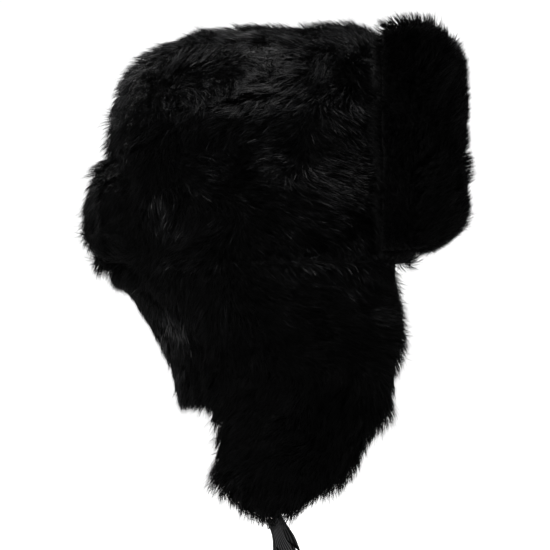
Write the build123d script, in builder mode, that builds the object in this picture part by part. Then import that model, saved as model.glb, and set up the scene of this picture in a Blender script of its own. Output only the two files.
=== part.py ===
from build123d import *
import math
import os

# Trapper hat with fur inside and out on the flaps, its peak flap turned up and its ear and
# neck flaps hanging.
#
# Frame: millimetres, +Z up. The hat faces -Y and the wearer's right side is -X.
# The origin is the centre of the head opening, in the plane of the crown's bottom edge.

# ---------------------------------------------------------------- materials and gaps
CROWN_FUR = 12.5          # pelt and lying pile on the crown
FLAP_FUR = 14.0           # pelt and lying pile on the outside of the flaps
FLAP_INNER_FUR = 9.0      # shorter, pressed pile on the side that lies against the head
PEAK_FUR = FLAP_FUR + 2.5
PEAK_BACKING = 5.0
WADDING = 4.0             # insulating wadding in the crown
LINING = 1.5              # quilted lining with its thin backing
SWEATBAND = 1.2
INTERLINING = 2.2         # stiff felted interlining inside every flap
LAYER_GAP = 0.3           # clearance between two sewn layers
SEAM_GAP = 0.5            # clearance between two panels that meet at a seam
FOLD_GAP = 0.6            # clearance between the crown's bottom edge and the flaps

# ---------------------------------------------------------------- crown dimensions
# Crown outline at the tips of the pile: (height, back, front, half width)
CROWN = [
    (-8.0, 111.0, -112.0, 91.0),
    (0.0, 117.0, -114.0, 94.0),
    (15.0, 124.0, -115.5, 97.0),
    (32.0, 126.5, -116.0, 99.0),
    (58.0, 120.0, -116.0, 99.0),
    (86.0, 109.0, -115.0, 97.0),
    (112.0, 104.5, -112.0, 91.5),
    (132.0, 96.5, -106.0, 81.0),
    (147.0, 80.0, -98.0, 67.0),
    (158.0, 52.0, -86.0, 49.0),
    (164.5, 22.0, -68.0, 30.0),
]
CROWN_UPRIGHT_TOP = 60.0      # up to here the layers are measured horizontally
CROWN_SEAM_HEIGHT = 113.0     # where the seam between top and side band crosses the middle
CROWN_SEAM_TILT = 8.5         # the seam rises towards the front, in degrees
WADDING_BOTTOM = 3.0
LINING_BOTTOM = 1.0
SWEATBAND_BOTTOM = 1.5
SWEATBAND_HEIGHT = 32.0

# ---------------------------------------------------------------- peak flap dimensions
PEAK_HALF_WIDTH = 121.0       # outer ellipse, seen from above
PEAK_HALF_DEPTH = 143.0
PEAK_BACK = -78.0             # its side edges
PEAK_TOP = 173.0
PEAK_SIDE_TRIM = 12.0         # front view outline, in from the ellipse at each side
PEAK_FRONT_MARGIN = 24.0      # front view outline, extra height over PEAK_TOP
PEAK_FRONT_DROP = 10.0        # front view outline, centre below half of PEAK_TOP
PEAK_FRONT_CORNER = 22.0

# Side view outline: (y, shift in y, z, shift in z), the shifts per mm of shrink
PEAK_PROFILE = [
    (PEAK_BACK, -1.0, 1.4, 1.0),
    (-106.0, 0.0, 3.0, 1.0),
    (-126.0, 0.3, 8.5, 1.0),
    (-140.0, 1.0, 24.0, 0.0),
    (-144.0, 1.0, 60.0, 0.0),
    (-143.5, 1.0, 120.0, 0.0),
    (-139.0, 1.0, 152.0, -0.5),
    (-124.0, 0.3, 170.0, -1.0),
    (-102.0, 0.0, PEAK_TOP, -1.0),
    (PEAK_BACK, -1.0, 168.0, -1.0),
]

# Peak layers from the outside in: (name, shrink of the outline)
PEAK_LAYERS = [("fur", 0.0), ("interlining", 8.0), ("backing", 2.0)]

# ---------------------------------------------------------------- hanging flap dimensions
# Outline of the hanging flaps taken as one skirt: (height, back, front, half width)
SKIRT = [
    (8.0, 121.0, -131.0, 103.5),
    (-0.5, 117.5, -131.0, 103.5),
    (-25.0, 95.0, -131.0, 104.0),
    (-52.0, 77.0, -131.0, 103.5),
    (-80.0, 67.0, -130.0, 102.0),
    (-104.0, 64.0, -128.0, 99.5),
    (-130.0, 70.0, -126.0, 96.5),
    (-155.0, 78.0, -123.0, 94.0),
    (-190.0, 86.0, -119.0, 90.0),
]

# Ear flap outline (y, z) in side view, from the top of its back edge round the lobe to the front
EAR_BACK = 36.0
EAR_OUTLINE = [
    (EAR_BACK - 3.0, -104.0),
    (29.5, -117.0),
    (32.5, -148.0),
    (22.0, -171.0),
    (-5.0, -178.5),
    (-37.0, -168.0),
    (-61.0, -151.0),
    (-75.0, -127.0),
    (-90.0, -106.0),
    (-96.0, -70.0),
    (-97.0, -35.0),
    (-92.0, -8.0),
]
EAR_MIDDLE = (-31.0, -85.0)   # (y, z) the outline is drawn in towards
EAR_FRONT_STEP = 1.0          # top front corner, back from the end of the outline
EAR_BACK_RISE = 8.0           # lower end of the straight back edge, above the outline's start
EAR_CUT_X = -20.0             # the outline is cut through from here to the right
EAR_CUT_DEPTH = 110.0

NECK_HALF_WIDTH = 50.0
NECK_BOTTOM = -99.0
NECK_END_RISE = 3.0           # how far the bottom edge rises at its two ends
NECK_CUT_DEPTH = 140.0

GUSSET_CUT_X = 100.0          # width and depth of the block that cuts the gusset out
GUSSET_CUT_Y = 120.0

# Layers of every hanging flap from the outside in: (name, top edge)
FLAP_TOP = -FOLD_GAP
FLAP_LAYERS = [
    ("outer_fur", FLAP_TOP),
    ("interlining", FLAP_TOP - 3.0),
    ("inner_fur", FLAP_TOP),
]

# How each of those layers is cut in each flap
HALF_SEAM = SEAM_GAP / 2
EAR_CUTS = [(0.0, HALF_SEAM), (10.0, 8.0), (3.0, HALF_SEAM)]    # (lobe inset, back edge inset)
NECK_CUTS = [                                                   # (side inset, bottom)
    (HALF_SEAM, NECK_BOTTOM),
    (5.0, NECK_BOTTOM + 9.0),
    (HALF_SEAM, NECK_BOTTOM + 3.0),
]
GUSSET_CUTS = [                                                 # (edge inset, bottom)
    (HALF_SEAM, NECK_BOTTOM + 2.0),
    (4.0, -72.0),
    (HALF_SEAM, -78.0),
]

# ---------------------------------------------------------------- tie dimensions
TIE_WIDTH = 12.0
TIE_THICK = 0.9
TIE_LENGTH = 150.0
TIE_LEAN = 18.0               # forwards from straight down, in degrees
TIE_ROOT = (-84.0, -9.0, -183.4)
TIE_SWAY = [(0.0, 0.0), (0.33, -2.0), (0.66, 1.0), (1.0, -1.0)]   # (share of length, shift in x)

TACK_TOP = -178.9
TACK_HEIGHT = 2.0
TACK_LENGTH = 3.4
TACK_WIDTH = 1.0
TACK_PITCH = 4.0
TACK_COUNT = 3

os.makedirs("parts", exist_ok=True)


# ---------------------------------------------------------------- shared helpers
def save(name, part):
    """Label a piece and write its file."""
    part.label = name
    export_step(part, f"parts/{name}.step")


def save_pair(name, right):
    """Write a right-hand piece and its mirror image on the left."""
    with BuildPart() as left:
        mirror(right, about=Plane.YZ)
    save(f"{name}_right", right)
    save(f"{name}_left", left.part)


def layer_depths(thicknesses):
    """(outer, inner) depth below the outline of each layer, from the outside in."""
    depths = []
    outer = 0.0
    for thickness in thicknesses:
        inner = outer + thickness
        depths.append((outer, inner))
        outer = inner + LAYER_GAP
    return depths


def loft_ellipses(stations):
    """Solid through ellipses: (height, back, front, half width, inset of the ellipse)."""
    with BuildPart() as solid:
        for z, back, front, half, inset in stations:
            with BuildSketch(Plane.XY.offset(z)):
                with Locations((0, (back + front) / 2)):
                    Ellipse(half - inset, (back - front) / 2 - inset)
        loft()
    return solid.part


# ---------------------------------------------------------------- crown
def crown_outward(i):
    """Outward direction (radial share, vertical share) of the crown's outline at row i."""
    if CROWN[i][0] <= CROWN_UPRIGHT_TOP:
        return 1.0, 0.0
    below = CROWN[i - 1]
    above = CROWN[min(i + 1, len(CROWN) - 1)]
    radius_below, radius_above = [
        (half + (back - front) / 2) / 2 for _, back, front, half in (below, above)
    ]
    rise = above[0] - below[0]
    spread = radius_above - radius_below
    length = math.hypot(rise, spread)
    return rise / length, -spread / length


def crown_envelope(inset):
    """Solid dome inside the crown's outline, set in from it by inset."""
    stations = []
    for i, (z, back, front, half) in enumerate(CROWN):
        radial, vertical = crown_outward(i)
        stations.append((z - inset * vertical, back, front, half, inset * radial))
    return loft_ellipses(stations)


def crown_layer(walls, cuts):
    """Shell between two domes, trimmed by (plane, side to keep) cuts."""
    outer, inner = walls
    with BuildPart() as layer:
        add(outer)
        add(inner, mode=Mode.SUBTRACT)
        for plane, side in cuts:
            split(bisect_by=plane, keep=side)
    return layer.part


def crown_seam(height):
    """Tilted plane that crosses the middle of the crown at height."""
    tilt = math.radians(CROWN_SEAM_TILT)
    return Plane(origin=(0, 0, height), z_dir=(0, math.sin(tilt), math.cos(tilt)))


def above(z):
    """Cut that keeps what lies above height z."""
    return Plane.XY.offset(z), Keep.TOP


above_seam = (crown_seam(CROWN_SEAM_HEIGHT + HALF_SEAM), Keep.TOP)
below_seam = (crown_seam(CROWN_SEAM_HEIGHT - HALF_SEAM), Keep.BOTTOM)
left_half = (Plane.YZ.offset(HALF_SEAM), Keep.TOP)
right_half = (Plane.YZ.offset(-HALF_SEAM), Keep.BOTTOM)
below_band_top = (Plane.XY.offset(SWEATBAND_BOTTOM + SWEATBAND_HEIGHT), Keep.BOTTOM)

fur, wadding, lining, band = [
    (crown_envelope(outer), crown_envelope(inner))
    for outer, inner in layer_depths([CROWN_FUR, WADDING, LINING, SWEATBAND])
]

# The sweatband lies against the forehead
CROWN_PIECES = [
    ("crown_top_fur", fur, [above_seam]),
    ("crown_side_fur_left", fur, [below_seam, above(0.0), left_half]),
    ("crown_side_fur_right", fur, [below_seam, above(0.0), right_half]),
    ("crown_wadding_top", wadding, [above_seam]),
    ("crown_wadding_band", wadding, [below_seam, above(WADDING_BOTTOM)]),
    ("crown_lining_top", lining, [above_seam]),
    ("crown_lining_band", lining, [below_seam, above(LINING_BOTTOM)]),
    ("sweatband", band, [above(SWEATBAND_BOTTOM), below_band_top]),
]
for name, walls, cuts in CROWN_PIECES:
    save(name, crown_layer(walls, cuts))


# ---------------------------------------------------------------- peak flap
def peak_layer(outer, inner, shrink):
    """One curved layer of the peak flap between two depths, its outline drawn in by shrink."""
    clearing = 400.0    # square that clears everything behind the side edges
    profile = [
        (y + shift_y * shrink, z + shift_z * shrink)
        for y, shift_y, z, shift_z in PEAK_PROFILE
    ]
    with BuildPart() as layer:
        # Upright elliptical wall, open at the back
        with BuildSketch(Plane.XY):
            Ellipse(PEAK_HALF_WIDTH - outer, PEAK_HALF_DEPTH - outer)
            Ellipse(PEAK_HALF_WIDTH - inner, PEAK_HALF_DEPTH - inner, mode=Mode.SUBTRACT)
            with Locations((0, PEAK_BACK - shrink + clearing / 2)):
                Rectangle(clearing, clearing, mode=Mode.SUBTRACT)
        extrude(amount=PEAK_TOP + 20)
        # Side view outline
        with BuildSketch(Plane.YZ):
            with BuildLine():
                Spline(*profile)
                Line(profile[-1], profile[0])
            make_face()
        extrude(amount=160, both=True, mode=Mode.INTERSECT)
        # Front view outline
        with BuildSketch(Plane.XZ):
            with Locations((0, PEAK_TOP / 2 - PEAK_FRONT_DROP)):
                RectangleRounded(
                    2 * (PEAK_HALF_WIDTH - shrink - PEAK_SIDE_TRIM),
                    PEAK_TOP + PEAK_FRONT_MARGIN,
                    PEAK_FRONT_CORNER,
                )
        extrude(amount=200, mode=Mode.INTERSECT)
    return layer.part


peak_depths = layer_depths([PEAK_FUR, INTERLINING, PEAK_BACKING])
for (name, shrink), (outer, inner) in zip(PEAK_LAYERS, peak_depths):
    save(f"peak_flap_{name}", peak_layer(outer, inner, shrink))


# ---------------------------------------------------------------- hanging flaps
def skirt_envelope(inset):
    """Solid inside the outline of the hanging flaps, set in from it by inset."""
    return loft_ellipses([(*row, inset) for row in SKIRT])


def ear_lobe(inset):
    """Ear flap outline drawn in towards the middle of the flap."""
    points = []
    for y, z in EAR_OUTLINE:
        dy = y - EAR_MIDDLE[0]
        dz = z - EAR_MIDDLE[1]
        length = math.hypot(dy, dz)
        points.append((y - inset * dy / length, z - inset * dz / length))
    return points


def ear_layer(walls, top, lobe_inset, back_inset):
    """Right-hand ear flap layer between two skirt envelopes, cut to its side view outline."""
    outer, inner = walls
    lobe = ear_lobe(lobe_inset)
    back = EAR_BACK - back_inset
    front_top = (lobe[-1][0] + EAR_FRONT_STEP, top)
    back_low = (back, lobe[0][1] + EAR_BACK_RISE)
    with BuildPart() as layer:
        add(outer)
        add(inner, mode=Mode.SUBTRACT)
        with BuildSketch(Plane.YZ.offset(EAR_CUT_X)):
            with BuildLine():
                Spline(*lobe)
                Line(lobe[-1], front_top)
                Line(front_top, (back, top))
                Line((back, top), back_low)
                Line(back_low, lobe[0])
            make_face()
        extrude(amount=-EAR_CUT_DEPTH, mode=Mode.INTERSECT)
    return layer.part


def neck_layer(walls, top, side_inset, bottom):
    """Layer of the neck flap's middle panel, between two skirt envelopes."""
    outer, inner = walls
    half = NECK_HALF_WIDTH - side_inset
    end = bottom + NECK_END_RISE
    with BuildPart() as layer:
        add(outer)
        add(inner, mode=Mode.SUBTRACT)
        with BuildSketch(Plane.XZ.offset(-EAR_BACK - HALF_SEAM)):
            with BuildLine():
                Line((-half, top), (half, top))
                Line((half, top), (half, end))
                Spline((half, end), (half * 0.5, bottom), (-half * 0.5, bottom), (-half, end))
                Line((-half, end), (-half, top))
            make_face()
        extrude(amount=-NECK_CUT_DEPTH, mode=Mode.INTERSECT)
    return layer.part


def gusset_layer(walls, top, edge_inset, bottom):
    """Layer of the right-hand corner piece that joins the neck flap to the ear flap."""
    outer, inner = walls
    centre_x = -NECK_HALF_WIDTH - edge_inset - GUSSET_CUT_X / 2
    centre_y = EAR_BACK + edge_inset + GUSSET_CUT_Y / 2
    with BuildPart() as layer:
        add(outer)
        add(inner, mode=Mode.SUBTRACT)
        with BuildSketch(Plane.XY.offset(top)):
            with Locations((centre_x, centre_y)):
                Rectangle(GUSSET_CUT_X, GUSSET_CUT_Y)
        extrude(amount=bottom - top, mode=Mode.INTERSECT)
    return layer.part


skirt_walls = [
    (skirt_envelope(outer), skirt_envelope(inner))
    for outer, inner in layer_depths([FLAP_FUR, INTERLINING, FLAP_INNER_FUR])
]
for (name, top), walls, ear_cut, neck_cut, gusset_cut in zip(
    FLAP_LAYERS, skirt_walls, EAR_CUTS, NECK_CUTS, GUSSET_CUTS
):
    save_pair(f"ear_flap_{name}", ear_layer(walls, top, *ear_cut))
    save(f"neck_flap_{name}", neck_layer(walls, top, *neck_cut))
    save_pair(f"neck_gusset_{name}", gusset_layer(walls, top, *gusset_cut))


# ---------------------------------------------------------------- ties
def tie_ribbon():
    """Right-hand ribbon, hanging from the ear flap with a slight sideways sway."""
    lean = math.radians(TIE_LEAN)
    along = (0, -math.sin(lean), -math.cos(lean))
    x, y, z = TIE_ROOT
    path = [
        (x + sway, y + along[1] * TIE_LENGTH * share, z + along[2] * TIE_LENGTH * share)
        for share, sway in TIE_SWAY
    ]
    with BuildPart() as ribbon:
        with BuildLine():
            Spline(*path, tangents=[along, along])
        with BuildSketch(Plane(origin=TIE_ROOT, x_dir=(1, 0, 0), z_dir=along)):
            Rectangle(TIE_THICK, TIE_WIDTH)
        sweep()
    return ribbon.part


def tie_bar_tack():
    """Short rows of thread that hold the right-hand tie in the edge seam of its ear flap."""
    with BuildPart() as tack:
        with BuildSketch(Plane.XY.offset(TACK_TOP)):
            with Locations(TIE_ROOT[:2]):
                with GridLocations(0, TACK_PITCH, 1, TACK_COUNT):
                    SlotOverall(TACK_LENGTH, TACK_WIDTH, rotation=90)
        extrude(amount=-TACK_HEIGHT)
    return tack.part


save_pair("tie_ribbon", tie_ribbon())
save_pair("tie_bar_tack", tie_bar_tack())
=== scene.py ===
# Fur hat with ear flaps, a neck flap and a front peak flap, all hinged at the fold line of the crown.
# Metres, +Z up. The wearer faces -Y, with the left side on +X. The fold line lies near z = 0: the
# crown and the raised peak flap stand above it, and the ear and neck flaps hang below it.
import math
from dataclasses import dataclass
from typing import Callable

import bpy
import numpy as np
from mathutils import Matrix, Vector
from mathutils.bvhtree import BVHTree
from mathutils.kdtree import KDTree


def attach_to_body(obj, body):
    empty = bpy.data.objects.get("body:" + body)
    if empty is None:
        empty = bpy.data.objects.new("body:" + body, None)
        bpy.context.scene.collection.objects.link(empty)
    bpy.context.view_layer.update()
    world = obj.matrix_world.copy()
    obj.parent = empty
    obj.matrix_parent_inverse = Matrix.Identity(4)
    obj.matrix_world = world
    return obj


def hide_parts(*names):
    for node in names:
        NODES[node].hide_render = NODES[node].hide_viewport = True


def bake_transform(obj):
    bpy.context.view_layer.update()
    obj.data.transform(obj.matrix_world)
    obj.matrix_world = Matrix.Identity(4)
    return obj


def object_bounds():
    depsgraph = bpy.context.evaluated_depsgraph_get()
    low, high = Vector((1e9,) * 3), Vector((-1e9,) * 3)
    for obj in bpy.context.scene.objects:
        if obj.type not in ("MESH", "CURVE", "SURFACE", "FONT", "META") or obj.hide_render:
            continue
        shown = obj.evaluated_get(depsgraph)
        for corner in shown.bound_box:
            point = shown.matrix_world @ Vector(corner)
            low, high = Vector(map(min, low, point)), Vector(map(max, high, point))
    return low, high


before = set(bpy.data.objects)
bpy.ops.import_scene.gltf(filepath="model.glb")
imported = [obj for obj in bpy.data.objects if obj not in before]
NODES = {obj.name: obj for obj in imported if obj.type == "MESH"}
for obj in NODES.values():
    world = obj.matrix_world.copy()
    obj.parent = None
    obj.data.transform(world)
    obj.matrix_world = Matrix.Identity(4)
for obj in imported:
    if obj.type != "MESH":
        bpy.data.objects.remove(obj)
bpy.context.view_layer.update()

DENSITY = 1.0  # share of the hairs that is grown
COLLECTION = bpy.context.scene.collection
MM = 0.001

# Seam planes, each as (normal, offset along it)
BACK_Y = 0.036  # where the ear flaps meet the neck gussets
NECK_HALF = 0.050  # where the gussets meet the neck flap
CROWN_Z = 0.113  # height of the seam round the crown top, on the axis
TILT = math.radians(8.5)  # that seam falls towards the back
SEAM_FALL = 0.149  # fall of the puckers beside that seam, per metre towards the back
FOLD = ((0.0, 0.0, 1.0), -0.0003)
BACK = ((0.0, 1.0, 0.0), BACK_Y)
NECK_L = ((1.0, 0.0, 0.0), NECK_HALF)
NECK_R = ((1.0, 0.0, 0.0), -NECK_HALF)
MID = ((1.0, 0.0, 0.0), 0.0)
CROWN_SEAM = ((0.0, math.sin(TILT), math.cos(TILT)), CROWN_Z * math.cos(TILT))

# Each flap bends from the crown's motion to its own between these two points
DOWN_HINGE = ((0.0, 0.0, -0.0004), (0.0, 0.0, -0.014))
HINGE = {
    "ear_flap_left": DOWN_HINGE,
    "ear_flap_right": DOWN_HINGE,
    "neck_flap": DOWN_HINGE,
    "neck_gusset_left": DOWN_HINGE,
    "neck_gusset_right": DOWN_HINGE,
    "peak_flap": ((0.0, 0.0, 0.0010), (0.0, 0.0, 0.0150)),
}


# ------------------------------------------------------------------ number helpers
def lattice(ix, iy, iz, seed):
    """Hash of whole-number cells to [-1, 1]."""
    h = (ix * 374761393 + iy * 668265263 + iz * 1440662683 + seed * 974634777) & 0xFFFFFFFF
    h = ((h ^ (h >> 13)) * 1274126177) & 0xFFFFFFFF
    h = ((h ^ (h >> 16)) * 2246822519) & 0xFFFFFFFF
    return ((h >> 8) & 0xFFFF) / 32767.5 - 1.0


def vnoise(points, scale, seed):
    """Smooth value noise in [-1, 1] at points (N x 3); scale in metres."""
    scaled = points / scale
    cell = np.floor(scaled).astype(np.int64)
    fade = scaled - cell
    fade = fade * fade * (3 - 2 * fade)
    out = np.zeros(len(points))
    for corner in np.ndindex(2, 2, 2):
        wx, wy, wz = (fade[:, k] if step else 1 - fade[:, k] for k, step in enumerate(corner))
        out += wx * wy * wz * lattice(*(cell + corner).T, seed)
    return out


def fbm(points, scale, seed, octaves=3):
    """Value noise summed over octaves, in [-1, 1]."""
    out, amp, total = np.zeros(len(points)), 1.0, 0.0
    for k in range(octaves):
        out += amp * vnoise(points, scale / 2**k, seed + 17 * k)
        total += amp
        amp *= 0.5
    return out / total


def vec_noise(points, scale, seed):
    return np.stack([vnoise(points, scale, seed + 101 * k) for k in range(3)], 1)


def smooth(x, lo, hi):
    """Smooth step from 0 at lo to 1 at hi."""
    t = np.clip((x - lo) / (hi - lo), 0, 1)
    return t * t * (3 - 2 * t)


def bell(x, centre, width):
    return np.exp(-(((x - centre) / width) ** 2))


def unit(v):
    return v / np.maximum(np.linalg.norm(v, axis=-1, keepdims=True), 1e-9)


def along_skin(direction, normal):
    """Unit direction with its part off the skin taken out."""
    return unit(direction - (direction * normal).sum(1, keepdims=True) * normal)


def columns(*parts):
    """Vectors from x, y and z, any of which may be a single number."""
    return np.stack(np.broadcast_arrays(*parts), 1)


# ------------------------------------------------------------------ mesh helpers
def arrays(mesh):
    """Vertex positions and normals."""
    co = np.empty(len(mesh.vertices) * 3)
    no = np.empty(len(mesh.vertices) * 3)
    mesh.vertices.foreach_get("co", co)
    mesh.vertices.foreach_get("normal", no)
    return co.reshape(-1, 3), no.reshape(-1, 3)


def put(mesh, co):
    mesh.vertices.foreach_set("co", np.ascontiguousarray(co, np.float32).ravel())
    mesh.update()


def link(name, mesh):
    ob = bpy.data.objects.new(name, mesh)
    COLLECTION.objects.link(ob)
    return ob


def dress(mesh, material):
    """Smooth shading and a single material."""
    for face in mesh.polygons:
        face.use_smooth = True
    mesh.materials.clear()
    mesh.materials.append(material)


def attach(ob, body, cad=None):
    if cad:
        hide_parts(cad)
    if body in HINGE:
        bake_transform(ob)
    else:
        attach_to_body(ob, body)


def world_points(name):
    ob = bpy.data.objects[name]
    return [ob.matrix_world @ v.co for v in ob.data.vertices]


def tri_mesh(name, verts, tris, uv):
    """Mesh from triangle arrays, with a uv per triangle corner."""
    mesh = bpy.data.meshes.new(name)
    mesh.vertices.add(len(verts))
    mesh.vertices.foreach_set("co", np.ascontiguousarray(verts, np.float32).ravel())
    mesh.loops.add(len(tris) * 3)
    mesh.loops.foreach_set("vertex_index", np.ascontiguousarray(tris, np.int32).ravel())
    mesh.polygons.add(len(tris))
    mesh.polygons.foreach_set("loop_start", np.arange(0, len(tris) * 3, 3, dtype=np.int32))
    mesh.update(calc_edges=True)
    layer = mesh.uv_layers.new(name="OFBake")
    layer.data.foreach_set("uv", np.ascontiguousarray(uv, np.float32).ravel())
    return mesh


def remeshed(cad, name, voxel):
    """Evenly meshed copy of a CAD solid."""
    mesh = NODES[cad].data.copy()
    mesh.materials.clear()
    ob = link(name, mesh)
    mod = ob.modifiers.new("remesh", "REMESH")
    mod.mode = "VOXEL"
    mod.voxel_size = voxel
    mod.use_smooth_shade = True
    depsgraph = bpy.context.evaluated_depsgraph_get()
    depsgraph.update()
    result = bpy.data.meshes.new_from_object(ob.evaluated_get(depsgraph), depsgraph=depsgraph)
    ob.modifiers.clear()
    ob.data = result
    bpy.data.meshes.remove(mesh)
    return ob


def relax(co, mesh, rounds, amount=0.5):
    """Laplacian smoothing of vertex positions."""
    edges = np.empty(len(mesh.edges) * 2, np.int32)
    mesh.edges.foreach_get("vertices", edges)
    edges = edges.reshape(-1, 2)
    degree = np.bincount(edges.ravel(), minlength=len(co)).astype(float)[:, None]
    degree[degree == 0] = 1
    for _ in range(rounds):
        total = np.zeros_like(co)
        np.add.at(total, edges[:, 0], co[edges[:, 1]])
        np.add.at(total, edges[:, 1], co[edges[:, 0]])
        co = co + amount * (total / degree - co)
    return co


# ------------------------------------------------------------------ material helpers
def new_material(name):
    material = bpy.data.materials.new(name)
    material.use_nodes = True
    tree = material.node_tree
    return material, tree, tree.nodes["Principled BSDF"]


def node(tree, kind, **values):
    """New node; each value goes to the input of that name, or else to the property."""
    n = tree.nodes.new(kind)
    for key, value in values.items():
        if key in n.inputs.keys():
            n.inputs[key].default_value = value
        else:
            setattr(n, key, value)
    return n


def grey(value):
    return (value,) * 3


def ramp(tree, stops, source):
    """Colour ramp of (position, rgb) stops driven by source; returns its colour."""
    r = tree.nodes.new("ShaderNodeValToRGB")
    elements = r.color_ramp.elements
    while len(elements) < len(stops):
        elements.new(0.5)
    for element, (position, colour) in zip(elements, stops):
        element.position = position
        element.color = (*colour, 1)
    tree.links.new(source, r.inputs["Fac"])
    return r.outputs["Color"]


def multiply(tree, first, second):
    mix = node(tree, "ShaderNodeMix", data_type="RGBA", blend_type="MULTIPLY")
    mix.inputs[0].default_value = 1.0
    tree.links.new(first, mix.inputs[6])
    tree.links.new(second, mix.inputs[7])
    return mix.outputs[2]


def noise(tree, coords, **values):
    n = node(tree, "ShaderNodeTexNoise", **values)
    tree.links.new(coords, n.inputs["Vector"])
    return n.outputs["Fac"]


def bump(tree, shader, height, strength, distance):
    b = node(tree, "ShaderNodeBump", Strength=strength, Distance=distance)
    tree.links.new(height, b.inputs["Height"])
    tree.links.new(b.outputs["Normal"], shader.inputs["Normal"])


# ------------------------------------------------------------------ fur materials
def hair_material(name, tones, roughness, specular):
    """Hair tone runs across the strand atlas in u, and from root to tip in v."""
    material, tree, shader = new_material(name)
    uv = node(tree, "ShaderNodeUVMap", uv_map="OFBake")
    split = tree.nodes.new("ShaderNodeSeparateXYZ")
    tree.links.new(uv.outputs["UV"], split.inputs[0])
    tone = ramp(tree, tones, split.outputs["X"])
    # darker towards the root: partly the hair's own tone from root to tip, partly painted shade at
    # the base of the coat
    root_to_tip = [(0.0, grey(0.12)), (0.4, grey(0.45)), (0.8, grey(1.0)), (1.0, grey(1.35))]
    along = ramp(tree, root_to_tip, split.outputs["Y"])
    tree.links.new(multiply(tree, tone, along), shader.inputs["Base Color"])
    shader.inputs["Roughness"].default_value = roughness
    shader.inputs["Specular IOR Level"].default_value = specular
    return material


# Hair tones as (place in u, linear rgb), from black to grey
GUARD_TONES = [
    (0.0, (0.0002, 0.0002, 0.0003)),
    (0.32, (0.0007, 0.0007, 0.0008)),
    (0.52, (0.0054, 0.0054, 0.0058)),
    (0.72, (0.0212, 0.0214, 0.0224)),
    (0.88, (0.057, 0.058, 0.061)),
    (1.0, (0.13, 0.128, 0.128)),
]
PLUSH_TONES = [
    (0.0, (0.0002, 0.0002, 0.0002)),
    (0.4, (0.0006, 0.0006, 0.0007)),
    (0.75, (0.0020, 0.0020, 0.0022)),
    (1.0, (0.009, 0.0088, 0.0088)),
]
GUARD = hair_material("fur_guard_hair", GUARD_TONES, roughness=0.463, specular=0.085)
PLUSH = hair_material("fur_plush_hair", PLUSH_TONES, roughness=0.59, specular=0.08)


def skin_material():
    """Matt, near-black underfur."""
    material, tree, shader = new_material("pelt_underfur")
    coords = tree.nodes.new("ShaderNodeTexCoord").outputs["Object"]
    mottle = noise(tree, coords, Scale=260.0, Detail=6.0, Roughness=0.65)
    tint = [(0.3, (0.0003, 0.0003, 0.0004)), (0.7, (0.0012, 0.0012, 0.0013))]
    tree.links.new(ramp(tree, tint, mottle), shader.inputs["Base Color"])
    roughness = ramp(tree, [(0.3, grey(0.95)), (0.7, grey(0.75))], mottle)
    tree.links.new(roughness, shader.inputs["Roughness"])
    bump(tree, shader, mottle, strength=0.6, distance=0.001)
    shader.inputs["Specular IOR Level"].default_value = 0.15
    return material


SKIN = skin_material()


# ------------------------------------------------------------------ outward directions of the pelts
def flap_radial(axis_y):
    """Level direction away from the upright axis at (0, axis_y)."""

    def radial(co):
        r = co - np.array([0.0, axis_y, 0.0])
        r[:, 2] = 0
        return unit(r)

    return radial


def crown_radial(co):
    """Level on the sides of the crown, turning upwards over its top."""
    r = co.copy()
    r[:, 2] = np.maximum(co[:, 2] - 0.075, 0) * 1.25
    return unit(r)


# ------------------------------------------------------------------ skin of a pelt
SEAM_FILL = 3.4  # mm the skin swells along a seam
CROWN_FOLD_FILL = 5.0  # the same along the fold line, on the crown
FLAP_FOLD_FILL = 0.2  # and on a flap


def off_plane(co, plane):
    """Signed distance from a seam plane."""
    return co @ np.array(plane[0]) - plane[1]


def off_seams(co, no, seams):
    """0 on the cut faces where a pelt meets its neighbour, 1 away from them."""
    w = np.ones(len(co))
    for plane in seams:
        cut = smooth(np.abs(no @ np.array(plane[0])), 0.45, 0.75)
        w *= 1 - (1 - smooth(np.abs(off_plane(co, plane)), 0.0012, 0.004)) * cut
    return w


def snapped(co, plane, reach=0.009, over=0.0007):
    """Brings an edge to its seam plane, and a little past it, so that no slit is left."""
    s = off_plane(co, plane)
    side = 1.0 if np.median(s) > 0 else -1.0
    w = 1 - smooth(np.abs(s), 0.0025, reach)
    return co - ((s + side * over) * w)[:, None] * np.array(plane[0])


def shape_skin(pelt, ob):
    """Lets the furred side in by the pile, draws in the free edges and makes the skin lumpy."""
    mesh = ob.data
    co, no = arrays(mesh)
    near_seam = np.zeros(len(co))
    for plane in pelt.seams:
        near = 1 - smooth(np.abs(off_plane(co, plane)), 0.004, 0.012)
        near_seam = np.maximum(near_seam, near)
    outward = pelt.radial(co) * pelt.furred
    dot = (outward * no).sum(1)
    furred = smooth(dot, -0.6, 0.3)
    sideways = no - dot[:, None] * outward
    rim = smooth(np.linalg.norm(sideways, axis=1), 0.5, 0.95) * (1 - near_seam)
    co = co - outward * (pelt.pile * furred)[:, None] - unit(sideways) * (pelt.lateral * rim)[:, None]
    co = relax(co, mesh, 4)
    if pelt.move:
        co = pelt.move(co)
    put(mesh, co)

    co, no = arrays(mesh)
    outward = pelt.radial(co) * pelt.furred
    lump = pelt.lump
    height = lump * MM * fbm(co, 0.044, pelt.seed, 3)
    height = height + 0.5 * lump * MM * vnoise(co, 0.017, pelt.seed + 40)
    if pelt.shape:
        height = height + pelt.shape(co) * MM
    fold_fill = CROWN_FOLD_FILL if pelt.body == "crown" else FLAP_FOLD_FILL
    for plane in pelt.seams:
        fill = fold_fill if plane is FOLD else SEAM_FILL
        height = height + fill * MM * bell(off_plane(co, plane), 0, 0.0048)
    co = co + outward * (height * furred)[:, None]
    co = relax(co, mesh, 2)
    for plane in pelt.seams:
        co = snapped(co, plane)
    put(mesh, co)
    mesh.materials.append(SKIN)


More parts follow.
